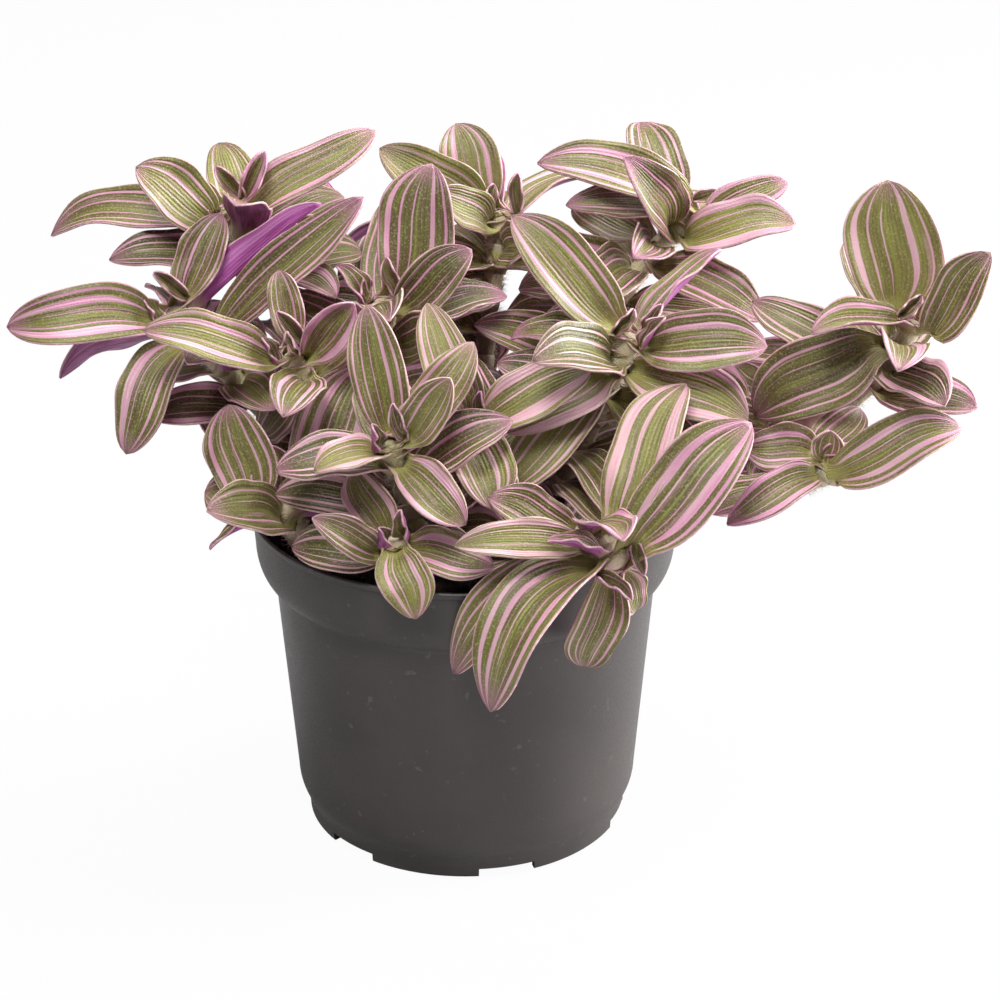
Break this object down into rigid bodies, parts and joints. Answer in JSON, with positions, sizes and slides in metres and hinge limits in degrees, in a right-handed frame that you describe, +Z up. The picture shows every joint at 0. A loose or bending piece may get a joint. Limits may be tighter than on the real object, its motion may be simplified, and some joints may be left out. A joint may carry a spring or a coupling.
{
  "type": "potted tradescantia",
  "caption": "Bushy houseplant with striped pink and green leaves on trailing stems, in a plain round plastic nursery pot filled with potting mix.",
  "frame": {"origin": "on the pot's axis, at the flat pad under the middle of its floor, which stands on the surface", "axes": "+Z up along the pot's axis; -Y towards the plant's front, +X to the plant's right as seen from the front"},
  "size_m": [0.2647, 0.1851, 0.1896],
  "materials": {
    "pot_plastic": "matt moulded dark grey plastic",
    "potting_mix": "loose dark peat mix",
    "stem": "satin pale green, slightly hairy",
    "leaf": "satin olive green with pink stripes, purple underneath"
  },
  "bodies": {
    "root": {"leaf_back_left_outer": "leaf", "leaf_back_left_pale": "leaf", "leaf_back_left_round": "leaf", "leaf_back_left_top": "leaf", "leaf_back_right_arched": "leaf", "leaf_back_right_outer": "leaf", "leaf_back_right_rear": "leaf", "leaf_centre_broad": "leaf", "leaf_centre_front": "leaf", "leaf_crown_back": "leaf", "leaf_crown_broad": "leaf", "leaf_far_right_broad": "leaf", "leaf_far_right_folded": "leaf", "leaf_far_right_long": "leaf", "leaf_far_right_outer": "leaf", "leaf_front_centre_lower": "leaf", "leaf_front_centre_upright": "leaf", "leaf_front_low_hanging": "leaf", "leaf_front_right_hanging": "leaf", "leaf_front_right_long": "leaf", "leaf_front_right_pale": "leaf", "leaf_front_right_rising": "leaf", "leaf_left_centre_folded": "leaf", "leaf_left_centre_outer": "leaf", "leaf_left_folded": "leaf", "leaf_left_hanging": "leaf", "leaf_left_long": "leaf", "leaf_left_outer": "leaf", "leaf_left_upright": "leaf", "leaf_rear_left_outer": "leaf", "leaf_rear_left_rear": "leaf", "leaf_rear_outer": "leaf", "leaf_rear_right": "leaf", "leaf_rear_tall": "leaf", "leaf_right_centre_folded": "leaf", "leaf_right_centre_inner": "leaf", "leaf_right_centre_lower": "leaf", "leaf_right_centre_outer": "leaf", "leaf_right_centre_tall": "leaf", "leaf_right_low_outer": "leaf", "leaf_rim_left_inner": "leaf", "leaf_rim_left_outer": "leaf", "leaf_rim_left_upright": "leaf", "pot": "pot_plastic", "potting_mix": "potting_mix", "stem_back_left": "stem", "stem_back_right": "stem", "stem_centre": "stem", "stem_crown": "stem", "stem_far_right": "stem", "stem_front_centre": "stem", "stem_front_low": "stem", "stem_front_right": "stem", "stem_left": "stem", "stem_left_centre": "stem", "stem_rear": "stem", "stem_rear_left": "stem", "stem_right_centre": "stem", "stem_right_low": "stem", "stem_rim_left": "stem"}
  },
  "joints": []
}
